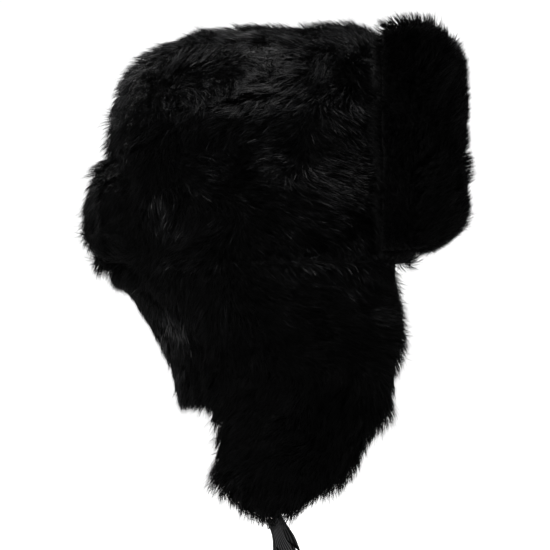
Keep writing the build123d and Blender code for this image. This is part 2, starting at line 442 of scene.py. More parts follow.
# ------------------------------------------------------------------ hair
ROOT_DEPTH = 0.0006  # roots start this far under the skin
CLUMP_REACH = 0.006
TONE_STEP = 1 / 260  # width in u of one side of a hair
LIMIT = 196000  # triangles in one piece of hair


def sample_surface(mesh, density, weight, rng):
    """Random points, density per square mm, and their normals."""
    mesh.calc_loop_triangles()
    tris = np.empty(len(mesh.loop_triangles) * 3, np.int32)
    mesh.loop_triangles.foreach_get("vertices", tris)
    tris = tris.reshape(-1, 3)
    co, no = arrays(mesh)
    w = weight(co, no)
    a, b, c = co[tris[:, 0]], co[tris[:, 1]], co[tris[:, 2]]
    area = np.linalg.norm(np.cross(b - a, c - a), axis=1) / 2
    share = area * np.clip(w[tris].mean(1), 0, 1)
    total = share.sum()
    count = int(density * total * 1e6)
    picked = tris[rng.choice(len(tris), count, p=share / total)]
    r1, r2 = rng.random(count), rng.random(count)
    flip = r1 + r2 > 1
    r1[flip], r2[flip] = 1 - r1[flip], 1 - r2[flip]
    parts = ((1 - r1 - r2)[:, None], r1[:, None], r2[:, None])

    def blend(values):
        first, second, third = (values[picked[:, k]] * parts[k] for k in range(3))
        return first + second + third

    return blend(co), unit(blend(no))


def nearest(points, seeds):
    """Index of the nearest seed to each point."""
    kd = KDTree(len(seeds))
    for i, s in enumerate(seeds):
        kd.insert(s, i)
    kd.balance()
    return np.array([kd.find(q)[1] for q in points], np.int64)


def hair_pattern(along):
    """Triangles and corner uvs of one three-sided hair with a ring at each place but the tip."""
    rings, du = len(along) - 1, TONE_STEP
    tris, uvs = [], []
    for k in range(rings - 1):
        low, high = along[k], along[k + 1]
        for j in range(3):
            j2 = (j + 1) % 3
            a, b, c, d = 3 * k + j, 3 * k + j2, 3 * (k + 1) + j2, 3 * (k + 1) + j
            tris += [(a, b, c), (a, c, d)]
            ua, ub = j * du, (j + 1) * du
            uvs += [[(ua, low), (ub, low), (ub, high)], [(ua, low), (ub, high), (ua, high)]]
    base, low = 3 * (rings - 1), along[rings - 1]
    for j in range(3):
        tris.append((base + j, base + (j + 1) % 3, 3 * rings))
        uvs.append([(j * du, low), ((j + 1) * du, low), ((j + 0.5) * du, 1.0)])
    tris.append((0, 2, 1))
    uvs.append([(0, 0.0), (du, 0.02), (2 * du, 0.0)])
    return np.array(tris), np.array(uvs)


def strands(root, normal, lie, length, width, rise, tone, rng, clump, rings):
    """Closed tapered hairs as verts, tris, uvs and verts per hair. rise is the pair of angles
    above the skin at root and tip; rings are the places of the rings along the hair."""
    count = len(root)
    forward = along_skin(lie, normal)
    across = np.cross(normal, forward)
    along = np.array([*rings, 1.0])
    path = [root - normal * ROOT_DEPTH]
    wave = rng.normal(0, 0.16, count)
    for k in range(len(rings)):
        mid = (along[k] + along[k + 1]) / 2
        angle = rise[0] + (rise[1] - rise[0]) * mid
        bend = wave * (mid * 2 - 0.6)
        level = np.cos(angle)[:, None] * (forward + bend[:, None] * across)
        step = unit(level + np.sin(angle)[:, None] * normal)
        path.append(path[-1] + step * (length * (along[k + 1] - along[k]))[:, None])
    path = np.stack(path, 1)

    # tips lean towards the nearest leading hair
    leaders = rng.choice(count, max(4, int(count / 9)), replace=False)
    own = leaders[nearest(root, root[leaders])]
    near = bell(np.linalg.norm(root - root[own], axis=1), 0, CLUMP_REACH)
    for k in range(1, len(along)):
        pull = clump * along[k] ** 1.3
        target = path[own, k] + (root - root[own]) * 0.12
        path[:, k] += (target - path[:, k]) * (pull * near)[:, None]

    last = len(rings)
    per_hair = 3 * last + 1
    verts = np.empty((count, per_hair, 3))
    taper = np.interp(along, [0, 0.3, 0.8, 1.0], [0.75, 1.0, 0.55, 0.0])
    spin = rng.random(count) * 2 * math.pi
    for k in range(last):
        heading = unit(path[:, min(k + 1, last)] - path[:, max(k - 1, 0)])
        a = unit(np.cross(heading, normal + 0.01))
        b = np.cross(a, heading)
        for j in range(3):
            turn = spin + 2 * math.pi * j / 3
            offset = np.cos(turn)[:, None] * a + np.sin(turn)[:, None] * b
            verts[:, 3 * k + j] = path[:, k] + offset * (width * taper[k] / 2)[:, None]
    verts[:, 3 * last] = path[:, -1]

    tris, uvs = hair_pattern(along)
    tris = (tris[None] + (np.arange(count) * per_hair)[:, None, None]).reshape(-1, 3)
    uv = np.broadcast_to(uvs[None], (count, *uvs.shape)).copy()
    uv[..., 0] += (0.01 + 0.965 * np.clip(tone, 0, 1))[:, None, None]
    uv[..., 1] = 0.01 + 0.98 * uv[..., 1]
    return verts.reshape(-1, 3), tris, uv.reshape(-1, 3, 2), per_hair


# Painted sheen (greyer patches of the coat where light falls) and, below 0, painted shade (darker
# patches), in side view: y, z, reach in y and z (mm), amount
PAINTED_SHEEN_AND_SHADE = [
    (-8, 128, 24, 22, 0.20), (68, 138, 24, 9, 0.13), (-58, 68, 17, 28, 0.24),
    (-25, 62, 22, 10, 0.09), (56, 26, 14, 7, 0.12), (40, 60, 9, 6, 0.08),
    (64, -42, 13, 26, 0.16), (60, -88, 12, 14, 0.12), (-88, 6, 8, 10, 0.10),
    (-34, -92, 24, 7, 0.10), (104, 105, 8, 22, 0.10), (20, 25, 8, 6, 0.06),
    (24, 112, 46, 11, 0.13), (4, 140, 66, 12, 0.06), (66, 116, 12, 10, 0.06),
    (104, 12, 26, 22, -0.12), (-8, -62, 40, 34, -0.10), (-40, -122, 40, 40, -0.12),
    (-64, -70, 26, 30, -0.05), (44, 88, 16, 14, -0.06), (10, 34, 18, 10, -0.05),
    (36, -52, 10, 40, -0.05), (-56, 116, 20, 12, 0.09), (-42, 46, 20, 12, 0.08),
    (-64, 2, 14, 10, 0.08), (92, 24, 30, 20, -0.10), (0, -80, 50, 60, -0.06),
    (-64, -16, 12, 12, 0.07),
]


def painted_sheen_and_shade_at(points):
    total = np.zeros(len(points))
    y_mm, z_mm = points[:, 1] / MM, points[:, 2] / MM
    for y, z, reach_y, reach_z, amount in PAINTED_SHEEN_AND_SHADE:
        total += amount * np.exp(-(((y_mm - y) / reach_y) ** 2) - (((z_mm - z) / reach_z) ** 2))
    return total


def guard_hair(pelt, fur, mesh, weight, rng):
    """Long hair that turns and rises in small tufts, with most of the coat's tone."""
    seed = pelt.seed + 100
    length_m = fur.length * MM
    root, normal = sample_surface(mesh, fur.density * DENSITY, weight, rng)
    count = len(root)
    tufts = root[rng.choice(count, max(6, int(count / 210)), replace=False)]
    tuft = nearest(root, tufts)

    twist = rng.normal(0, 0.22, len(tufts))[tuft] + 0.30 * vnoise(root, 0.022, seed + 5)
    twist = twist + rng.normal(0, 0.13, count)
    raised = np.clip(rng.normal(0, 0.20, len(tufts)), -0.45, 0.45)[tuft]
    lift = raised + 0.16 * vnoise(root, 0.016, seed + 9)
    forward = along_skin(pelt.comb(root, normal), normal)
    across = np.cross(normal, forward)
    lie = np.cos(twist)[:, None] * forward + np.sin(twist)[:, None] * across

    length = length_m * (1 + 0.16 * vnoise(root, 0.03, seed + 3) + rng.normal(0, 0.12, count))
    shorter_below = 1 - 0.3 * smooth(-normal[:, 2], 0.3, 0.8)
    length = np.clip(length, length_m * 0.5, length_m * 1.4) * shorter_below
    width = fur.width * MM * rng.uniform(0.5, 1.2, count)

    tone = pelt.tone + 0.42 * fbm(root, 0.034, seed + 21) + 0.22 * vnoise(root, 0.009, seed + 23)
    tone = tone + rng.normal(0, 0.13, count)
    tone += 0.07 * rng.normal(0, 1, len(tufts))[tuft]
    # painted sheen and painted shade: positive patches lift the tone of a random few hairs, negative
    # patches darken every hair
    painted_patch = painted_sheen_and_shade_at(root)
    scatter = rng.uniform(0, 1, count) ** 1.5
    tone += np.where(painted_patch > 0, pelt.glow * painted_patch * 2.1 * scatter, pelt.glow * painted_patch)
    tone += 0.32 * (rng.uniform(0, 1, count) < 0.10)

    some = rng.uniform(0, 1, count) < 0.42
    sets = []
    for pick, rings in ((some, (0.0, 0.42, 0.78)), (~some, (0.0, 0.5))):
        rise = [(angle + lift)[pick] for angle in fur.rise]
        sets.append(strands(root[pick], normal[pick], lie[pick], length[pick], width[pick],
                            rise, tone[pick], rng, clump=0.32, rings=rings))
    return sets


def undercoat(pelt, fur, mesh, weight, rng):
    """Shorter, darker and steeper hair between the guard hair."""
    root, normal = sample_surface(mesh, fur.density * DENSITY * fur.undercoat, weight, rng)
    count = len(root)
    lie = pelt.comb(root, normal) + 0.5 * vec_noise(root, 0.01, pelt.seed + 131)
    length = fur.length * MM * 0.62 * rng.uniform(0.7, 1.2, count)
    width = fur.width * MM * rng.uniform(0.9, 1.4, count)
    rise = [np.full(count, fur.rise[0] + 0.1), np.full(count, fur.rise[1] + 0.25)]
    tone = 0.22 + rng.normal(0, 0.08, count)
    return strands(root, normal, lie, length, width, rise, tone, rng, clump=0.2, rings=(0.0, 0.6))


def grow(pelt, fur, mesh, weight):
    """Fur on one pelt, cut across its longest axis into pieces below the triangle limit."""
    rng = np.random.default_rng(pelt.seed + 100)
    sets = guard_hair(pelt, fur, mesh, weight, rng)
    sets.append(undercoat(pelt, fur, mesh, weight, rng))
    offset, all_tris, first_vert = 0, [], []
    for verts, tris, _, per_hair in sets:
        hairs = len(verts) // per_hair
        all_tris.append(tris + offset)
        first_vert.append(np.repeat(np.arange(hairs) * per_hair + offset, len(tris) // hairs))
        offset += len(verts)
    verts = np.concatenate([s[0] for s in sets])
    tris = np.concatenate(all_tris)
    uvs = np.concatenate([s[2] for s in sets])
    first_vert = np.concatenate(first_vert)

    parts = max(1, math.ceil(len(tris) / LIMIT))
    axis = int(np.argmax(verts.max(0) - verts.min(0)))
    place = verts[first_vert][:, axis]
    edges = np.quantile(place, np.linspace(0, 1, parts + 1))
    edges[0], edges[-1] = -1e9, 1e9
    for i in range(parts):
        inside = (place >= edges[i]) & (place < edges[i + 1])
        used, index = np.unique(tris[inside], return_inverse=True)
        name = f"{pelt.stem}_hair_{i + 1}" if parts > 1 else f"{pelt.stem}_hair"
        piece = tri_mesh(name, verts[used], index.reshape(-1, 3), uvs[inside].reshape(-1, 2))
        piece.materials.append(fur.material)
        attach(link(name, piece), pelt.body)


# ------------------------------------------------------------------ comb directions
# How the hair lies on the sides of the hat: (y mm, z mm, direction), with the direction in degrees
# as seen from the wearer's right: 0 forwards, 90 up, 180 back, 270 down.
COMB = [
    (73, 139, 335), (50, 139, 330), (28, 139, 320), (6, 139, 295), (-17, 139, 257),
    (-39, 139, 236), (-62, 139, 212), (6, 160, 257), (-39, 160, 240), (95, 116, 300),
    (62, 116, 327), (28, 116, 285), (6, 116, 237), (-28, 116, 205), (-62, 116, 214),
    (84, 94, 282), (50, 94, 257), (28, 94, 220), (-6, 94, 210), (-50, 94, 345),
    (95, 71, 262), (73, 71, 296), (50, 71, 333), (17, 71, 355), (-17, 71, 205),
    (-39, 71, 348), (-62, 71, 318), (-84, 71, 306), (95, 49, 250), (73, 49, 300),
    (39, 49, 330), (6, 49, 350), (-28, 49, 345), (-62, 49, 317), (-84, 49, 296),
    (112, 27, 190), (73, 27, 297), (50, 27, 225), (28, 27, 196), (-6, 27, 340),
    (-39, 27, 348), (-62, 27, 310), (-84, 27, 280), (84, 4, 215), (50, 4, 190),
    (17, 4, 335), (-28, 4, 325), (-62, 4, 300), (-90, 4, 150), (73, -18, 247),
    (50, -18, 300), (17, -18, 318), (-17, -18, 335), (-50, -18, 338), (-84, -18, 345),
    (62, -41, 272), (28, -41, 325), (6, -41, 316), (-39, -41, 340), (-84, -41, 345),
    (50, -63, 288), (6, -63, 316), (-39, -63, 340), (-84, -63, 335), (50, -85, 284),
    (28, -85, 272), (-6, -85, 230), (-50, -85, 222), (-84, -85, 258), (6, -118, 224),
    (-28, -118, 220), (-62, -118, 250), (17, -152, 242), (-17, -152, 262), (-5, -175, 268),
]
COMB_AT = np.array([[y, z] for y, z, _ in COMB]) * MM
COMB_WAY = np.array([[-math.cos(math.radians(a)), math.sin(math.radians(a))] for _, _, a in COMB])


def side_comb(points):
    """Blend of the nearby table directions, with a faint wide reach for points far from all."""
    d2 = ((points[:, None, 1:] - COMB_AT[None]) ** 2).sum(2)
    w = np.exp(-d2 / (2 * 0.011**2)) + 1e-5 * np.exp(-d2 / (2 * 0.05**2)) + 1e-12
    way = (w[:, :, None] * COMB_WAY[None]).sum(1) / w.sum(1)[:, None]
    return np.concatenate([np.zeros((len(points), 1)), unit(way + 1e-4)], 1)


def combed(rest, lo=0.30, hi=0.65):
    """The side comb where the surface looks sideways, and rest elsewhere. lo and hi bound the
    sideways part of the normal over which they cross. Near a seam the hair leans over it."""

    def comb(points, normals):
        x, y, z = points.T
        w = smooth(np.abs(normals[:, 0]), lo, hi)[:, None]
        lie = side_comb(points) * w + rest(points, normals) * (1 - w)
        lie = lie + 0.12 * vec_noise(points, 0.03, 77)
        above, below = z > -0.002, z < 0
        # down over the fold line
        fold = bell(z, 0, 0.010) * (y > -0.085) * (0.75 + 0.5 * vnoise(points, 0.014, 71))
        lie[:, 2] -= 1.5 * fold
        # up at the foot of the crown's front
        lie[:, 2] += 2.6 * smooth(-y, 0.080, 0.092) * smooth(-z, -0.034, -0.012) * above
        # forwards along the front of the crown
        forwards = 1.6 * smooth(-y, 0.054, 0.070) * smooth(z, 0.012, 0.03)
        lie[:, 1] -= forwards * (1 - smooth(z, 0.125, 0.15))
        # up at the foot of the crown's back
        lie[:, 2] += 2.2 * (smooth(y, 0.070, 0.095) * (1 - smooth(z, 0.006, 0.024)) * above)
        # backwards over the seam behind the ear flap, and outwards over the neck flap's seams
        lie[:, 1] += 0.75 * (bell(y, BACK_Y, 0.012) * below)
        neck = bell(np.abs(x), NECK_HALF, 0.010) * below * (y > BACK_Y)
        lie[:, 0] += 0.6 * np.sign(x) * neck
        return lie

    return comb


def parting(x, reach):
    """-1 on the right and 1 on the left, with a soft change over the middle."""
    return np.sign(x) * smooth(np.abs(x), 0, reach)


def rest_crown(points, normals):
    """Over the top from front to back, and down the back and the front."""
    x = points[:, 0]
    top = smooth(normals[:, 2], 0.35, 0.8)[:, None]
    over = columns(0.25 * parting(x, 0.04), 0.8, 0.0)
    down = columns(0.35 * parting(x, 0.03), 0.0, -1.0)
    return over * top + down * (1 - top) + 0.4 * vec_noise(points, 0.04, 78)


def rest_down(points, normals):
    down = columns(0.25 * parting(points[:, 0], 0.03), 0.05, -1.0)
    return down + 0.35 * vec_noise(points, 0.04, 79)


def comb_peak(points, normals):
    """Up the peak flap, fanning out, and backwards over its rear."""
    x, y, _ = points.T
    up = columns(0.25 * x / 0.1, 0.1 + 1.3 * smooth(y, -0.106, -0.090), 0.8)
    return up + 0.45 * vec_noise(points, 0.03, 74)


def comb_in(points, normals):
    return np.array([0.0, 0.05, -1.0]) + 0.3 * vec_noise(points, 0.03, 75)


# ------------------------------------------------------------------ shape of the soft body
def groove(co, a, b, reach):
    """1 on the line from a to b in side view (y, z in mm), falling off over reach mm."""
    a, b = np.array(a) * MM, np.array(b) * MM
    p = co[:, 1:]
    t = np.clip(((p - a) @ (b - a)) / ((b - a) @ (b - a)), 0, 1)
    return bell(np.linalg.norm(p - a - t[:, None] * (b - a), axis=1), 0, reach * MM)


def pucker(co, height, width):
    """Bell across a line that falls towards the back at the slope of the crown seam."""
    return np.exp(-(((co[:, 2] - (height - SEAM_FALL * co[:, 1])) / width) ** 2))


def crown_shape(co):
    """Fold at the back, slack above the fold line and a dip under the top seam (mm)."""
    back = smooth(co[:, 1], 0.03, 0.08)
    d = -4.5 * groove(co, (112, 84), (84, 42), 7) * back
    d += 2.0 * groove(co, (118, 66), (98, 18), 12) * back
    d += -2.0 * groove(co, (30, 86), (-60, 84), 9) + 1.8 * groove(co, (10, 50), (-70, 45), 16)
    return d - 2.5 * pucker(co, CROWN_Z, 0.007) * (co[:, 1] < 0.09)


def top_shape(co):
    """Fuller edge of the crown top over its seam (mm)."""
    return 2.2 * pucker(co, 0.120, 0.009) + 1.5 * fbm(co, 0.03, 55, 2)


def flap_shape(co):
    """Ridges and hollows of the hanging flaps (mm)."""
    d = 3.0 * groove(co, (-75, -66), (-18, -107), 9)
    d += -3.0 * groove(co, (-60, -92), (-10, -128), 10)
    d += -3.5 * groove(co, (40, -30), (34, -95), 9)
    d += 1.5 * groove(co, (-30, -40), (10, -40), 22)
    return d


def tuck_lobe(co):
    """Draws the lower end and the front edge of the ear flap in, to leave room for its hair."""
    co = co.copy()
    beside_tie = smooth(np.abs(co[:, 1] + 0.009), 0.007, 0.030)
    co[:, 2] += 0.0065 * smooth(-co[:, 2], 0.13, 0.18) * beside_tie
    co[:, 1] += 0.0035 * smooth(-co[:, 1], 0.05, 0.085) * smooth(-co[:, 2], 0.04, 0.09)
    return co


def tuck_peak(co):
    """Lowers the top edge of the peak flap, and slightly its front foot."""
    co = co.copy()
    co[:, 2] -= 0.0075 * smooth(co[:, 2], 0.10, 0.168)
    co[:, 2] -= 0.0015 * smooth(-co[:, 2], -0.03, -0.005) * smooth(-co[:, 1], 0.10, 0.125)
    return co


def tuck_crown(co):
    """Moves the lower front of the crown back."""
    co = co.copy()
    low = smooth(-co[:, 2], -0.020, -0.002)
    co[:, 1] += 0.006 * smooth(-co[:, 1], 0.070, 0.10) * low
    return co


def front_clear(co):
    """The crown is thinly haired behind the foot of the peak flap."""
    return 1 - 0.6 * smooth(-co[:, 1], 0.080, 0.088) * smooth(-co[:, 2], -0.030, -0.018)


# ------------------------------------------------------------------ the pelts
@dataclass
class Fur:
    material: bpy.types.Material
    slot: str
    density: float  # hairs per square mm
    length: float  # mm
    width: float  # mm
    rise: tuple  # angle above the skin at root and tip, radians
    undercoat: float  # share of undercoat hairs


LONG_FUR = Fur(GUARD, "fur_guard", density=0.86, length=15.0, width=0.37, rise=(0.88, 0.22),
               undercoat=0.42)
PLUSH_FUR = Fur(PLUSH, "fur_plush", density=0.78, length=12.0, width=0.44, rise=(1.15, 0.62),
                undercoat=0.25)
SHORT_FUR = Fur(PLUSH, "fur_plush", density=0.50, length=9.0, width=0.50, rise=(0.95, 0.40),
                undercoat=0.3)


@dataclass
class Pelt:
    cad: str  # the CAD piece it replaces
    stem: str  # start of its object names
    body: str
    fur: Fur
    radial: Callable
    furred: int  # 1 where the outer side bears the fur, -1 where the inner side does
    comb: Callable
    seed: int
    seams: tuple = ()
    voxel: float = 0.004
    pile: float = 8.0 * MM  # how far the furred side is let in
    lateral: float = 0.005  # how far the free edges are drawn in
    lump: float = 2.4  # height of the lumps, mm
    shape: Callable = None  # extra height in mm
    move: Callable = None
    mask: Callable = None  # thins the hair
    facing: float = -0.70  # hair starts where the normal reaches this far outwards
    tone: float = 0.34
    glow: float = 2.6  # strength of the painted sheen and painted shade patches


FLAP = flap_radial(-0.012)
PEAK = flap_radial(0.0)
PELTS = []
for side in ("left", "right"):
    ear, gusset = f"ear_flap_{side}", f"neck_gusset_{side}"
    gusset_seams = (FOLD, BACK, NECK_L if side == "left" else NECK_R)
    PELTS += [
        Pelt(f"crown_side_fur_{side}", f"crown_side_{side}", "crown", LONG_FUR, crown_radial, 1,
             combed(rest_crown), seed=3, seams=(FOLD, MID, CROWN_SEAM), shape=crown_shape,
             mask=front_clear, move=tuck_crown),
        Pelt(f"ear_flap_outer_fur_{side}", f"ear_flap_outer_{side}", ear, LONG_FUR, FLAP, 1,
             combed(rest_down), seed=6, seams=(FOLD, BACK), shape=flap_shape, lateral=0.0065,
             move=tuck_lobe),
        Pelt(f"ear_flap_inner_fur_{side}", f"ear_flap_inner_{side}", ear, SHORT_FUR, FLAP, -1,
             comb_in, seed=7, seams=(FOLD, BACK), pile=0.0045, lateral=0.0065, move=tuck_lobe),
        Pelt(f"neck_gusset_outer_fur_{side}", f"neck_gusset_outer_{side}", gusset, LONG_FUR,
             FLAP, 1, combed(rest_down), seed=8, seams=gusset_seams, shape=flap_shape),
        Pelt(f"neck_gusset_inner_fur_{side}", f"neck_gusset_inner_{side}", gusset, SHORT_FUR,
             FLAP, -1, comb_in, seed=9, seams=gusset_seams, voxel=0.003, pile=0.004),
    ]
NECK_SEAMS = (FOLD, NECK_L, NECK_R)
PELTS += [
    Pelt("crown_top_fur", "crown_top", "crown", LONG_FUR, crown_radial, 1,
         combed(rest_crown, 0.25, 0.6), seed=4, seams=(CROWN_SEAM,), shape=top_shape),
    Pelt("neck_flap_outer_fur", "neck_flap_outer", "neck_flap", LONG_FUR, FLAP, 1,
         combed(rest_down), seed=10, seams=NECK_SEAMS),
    Pelt("neck_flap_inner_fur", "neck_flap_inner", "neck_flap", SHORT_FUR, FLAP, -1, comb_in,
         seed=11, seams=NECK_SEAMS, pile=0.0045),
    Pelt("peak_flap_fur", "peak_flap", "peak_flap", PLUSH_FUR, PEAK, 1, comb_peak, seed=12,
         pile=0.0085, lateral=0.0055, lump=2.3, move=tuck_peak, facing=-0.85),
    # the backing's low tone is painted shade in the slot between the peak flap and the crown, and its
    # weaker glow gives it less painted sheen
    Pelt("peak_flap_backing", "peak_flap_back", "peak_flap", SHORT_FUR, PEAK, -1, comb_peak,
         seed=13, voxel=0.003, pile=0.002, lateral=0.0085, move=tuck_peak, facing=-0.25,
         tone=0.06, glow=0.8),
]


# ------------------------------------------------------------------ filling out the soft parts
PUFF_FRAMES = 16
PUFF_CAP = 0.003  # most that a point may move
HELD_REACH = 0.005  # half-width of the held band along a seam


def add_cloth(ob, held):
    """Pressurised cloth without gravity, with the held vertices pinned."""
    group = ob.vertex_groups.new(name="sewn")
    group.add([int(i) for i in np.nonzero(held)[0]], 1.0, "REPLACE")
    mod = ob.modifiers.new("cloth", "CLOTH")
    cloth = mod.settings
    cloth.quality = 4
    cloth.mass = 0.25
    cloth.use_pressure = True
    cloth.uniform_pressure_force = 4.0
    cloth.tension_stiffness = 12
    cloth.compression_stiffness = 12
    cloth.shear_stiffness = 6
    cloth.bending_stiffness = 2
    cloth.vertex_group_mass = "sewn"
    cloth.effector_weights.gravity = 0.0
    mod.collision_settings.use_collision = False
    mod.point_cache.frame_start = 1
    mod.point_cache.frame_end = PUFF_FRAMES


def puff(objects):
    """Puts every pelt under pressure at its sewn edges' hold, and keeps the capped movement."""
    rest = []
    for pelt, ob in zip(PELTS, objects):
        co, _ = arrays(ob.data)
        rest.append(co)
        held = np.zeros(len(co), bool)
        for plane in pelt.seams:
            held |= np.abs(off_plane(co, plane)) < HELD_REACH
        add_cloth(ob, held)
    scene = bpy.context.scene
    for f in range(1, PUFF_FRAMES + 1):
        scene.frame_set(f)
    depsgraph = bpy.context.evaluated_depsgraph_get()
    moved = []
    for ob in objects:
        moved.append(arrays(ob.evaluated_get(depsgraph).to_mesh())[0])
        ob.evaluated_get(depsgraph).to_mesh_clear()
    for ob, before, after in zip(objects, rest, moved):
        ob.modifiers.clear()
        ob.vertex_groups.clear()
        shift = after - before
        shift[~np.isfinite(shift).all(1)] = 0
        size = np.linalg.norm(shift, axis=1, keepdims=True)
        shift = shift * (PUFF_CAP * np.tanh(size / PUFF_CAP) / np.maximum(size, 1e-9))
        put(ob.data, before + shift)
    scene.frame_set(1)


def make_pelt(pelt, ob):
    """Skin and hair of one pelt."""
    shape_skin(pelt, ob)
    attach(ob, pelt.body, pelt.cad)

    def weight(co, no):
        """Share of hair: full where the skin looks outwards, denser at free rims."""
        outward = pelt.furred * (pelt.radial(co) * no).sum(1)
        free = off_seams(co, no, pelt.seams)
        w = smooth(outward, pelt.facing, pelt.facing + 0.45) * free
        w = w + smooth(outward, -0.1, 0.3) * (1 - free)
        w = w * (1 + 0.7 * free * (1 - np.abs(outward)))
        return w * pelt.mask(co) if pelt.mask else w

    grow(pelt, pelt.fur, ob.data, weight)


skins = [remeshed(pelt.cad, pelt.stem + "_pelt", pelt.voxel) for pelt in PELTS]
puff(skins)
for pelt, skin in zip(PELTS, skins):
    make_pelt(pelt, skin)


# ------------------------------------------------------------------ textile materials
def textile(name, low, high, rough, kind, scale, relief, sheen_weight=0.0, specular=0.4):
    """Woven, felted or grained surface. low and high are the colours, rough the range of
    roughness, scale the fineness of the pattern and relief the strength of its bump."""
    material, tree, shader = new_material(name)
    join = tree.links.new
    coords = tree.nodes.new("ShaderNodeTexCoord").outputs["Object"]
    big = noise(tree, coords, Scale=38.0, Detail=5.0)
    fine = noise(tree, coords, Scale=scale, Detail=8.0, Roughness=0.7)
    height = fine
    if kind == "weave":
        bands = [
            node(tree, "ShaderNodeTexWave", wave_type="BANDS", bands_direction=way, Scale=fineness,
                 Distortion=0.6)
            for way, fineness in (("Z", scale), ("DIAGONAL", scale * 0.8))
        ]
        for band in bands:
            join(coords, band.inputs["Vector"])
        product = node(tree, "ShaderNodeMath", operation="MULTIPLY")
        for k, band in enumerate(bands):
            join(band.outputs["Fac"], product.inputs[k])
        height = product.outputs[0]
    elif kind == "grain":
        cells = node(tree, "ShaderNodeTexVoronoi", Scale=scale, feature="DISTANCE_TO_EDGE")
        join(coords, cells.inputs["Vector"])
        height = cells.outputs["Distance"]
    mix = node(tree, "ShaderNodeMix", data_type="FLOAT")
    mix.inputs[0].default_value = 0.35
    join(big, mix.inputs[2])
    join(fine, mix.inputs[3])
    join(ramp(tree, [(0.3, low), (0.72, high)], mix.outputs[0]), shader.inputs["Base Color"])
    roughness = ramp(tree, [(0.2, grey(rough[0])), (0.8, grey(rough[1]))], big)
    join(roughness, shader.inputs["Roughness"])
    bump(tree, shader, height, strength=relief, distance=0.0006)
    shader.inputs["Specular IOR Level"].default_value = specular
    shader.inputs["Sheen Weight"].default_value = sheen_weight
    return material


def paint_groove_shade(material):
    """Painted shade: darkens the ribbon's colour in the grooves between its ribs and along its edges,
    by the rib attribute; the attribute also makes the folded ply darker towards its end.
    """
    tree = material.node_tree
    base = tree.nodes["Principled BSDF"].inputs["Base Color"]
    plain = base.links[0].from_socket
    rib = node(tree, "ShaderNodeAttribute", attribute_name="rib", attribute_type="GEOMETRY")
    shade = ramp(tree, [(0.35, grey(0.01)), (0.92, grey(1.0))], rib.outputs["Fac"])
    tree.links.new(multiply(tree, plain, shade), base)


SATIN = textile("lining_satin", low=(0.010, 0.010, 0.012), high=(0.022, 0.022, 0.026),
                rough=(0.28, 0.42), kind="weave", scale=900.0, relief=0.25, sheen_weight=0.25,
                specular=0.6)
FELT = textile("interlining_felt", low=(0.0012, 0.0012, 0.0014), high=(0.004, 0.004, 0.0045),
               rough=(0.85, 0.98), kind="felt", scale=520.0, relief=0.8, specular=0.08)
FLEECE = textile("wadding_fibre", low=(0.002, 0.002, 0.0022), high=(0.008, 0.008, 0.009),
                 rough=(0.9, 1.0), kind="felt", scale=260.0, relief=1.0, specular=0.08)
LEATHER = textile("sweatband_leather", low=(0.012, 0.009, 0.007), high=(0.026, 0.019, 0.015),
                  rough=(0.42, 0.6), kind="grain", scale=620.0, relief=0.5)
GROSGRAIN = textile("ribbon_grosgrain", low=(0.034, 0.034, 0.0355), high=(0.074, 0.074, 0.077),
                    rough=(0.5, 0.7), kind="weave", scale=1500.0, relief=0.3, specular=0.06)
paint_groove_shade(GROSGRAIN)
THREAD = textile("thread_polyester", low=(0.004, 0.004, 0.0045), high=(0.011, 0.011, 0.012),
                 rough=(0.42, 0.58), kind="felt", scale=1600.0, relief=0.5)


# ------------------------------------------------------------------ wadding and interlining
def interlining(cad):
    """Felt sheet inside a flap; the peak's is drawn in like its fur, and at both ends."""
    ob = remeshed(cad, cad + "_felt", 0.0011)
    co, no = arrays(ob.data)
    co = co + no * (0.15 * MM * fbm(co, 0.004, 61))[:, None]
    if cad.startswith("peak"):
        co = tuck_peak(co)
        across = np.abs(co[:, 0])
        wide = across.max()
        co[:, 0] -= np.sign(co[:, 0]) * 0.008 * smooth(across, wide - 0.035, wide)
    put(ob.data, co)
    ob.data.materials.append(FELT)
    attach(ob, cad.replace("_interlining", ""), cad)


for cad in sorted(NODES):
    if "wadding" in cad:
        dress(NODES[cad].data, FLEECE)
    if "interlining" in cad:
        interlining(cad)


# ------------------------------------------------------------------ lining and sweatband
AROUND = 260  # columns round the head
AZIMUTHS = np.linspace(0, 2 * math.pi, AROUND, endpoint=False)
CAST_MARGIN = 0.0008  # rays stay this far under the seam
LINING_THICK = 1.3 * MM
QUILT_HEIGHT = 2.3  # mm


def cad_tree(name):
    faces = [tuple(p.vertices) for p in bpy.data.objects[name].data.polygons]
    return BVHTree.FromPolygons(world_points(name), faces)


def hit(surface, origin, direction):
    place = surface.ray_cast(Vector(origin), Vector(direction).normalized())[0]
    return None if place is None else np.array(place)


def level_way(azimuth):
    return np.array((math.cos(azimuth), math.sin(azimuth), 0))


def diamonds(p, q):
    """Height of a quilted field, 0 on the stitch lines and 1 in the middle of each diamond."""
    return np.clip(np.abs(np.sin(math.pi * p) * np.sin(math.pi * q)), 0, 1) ** 0.45


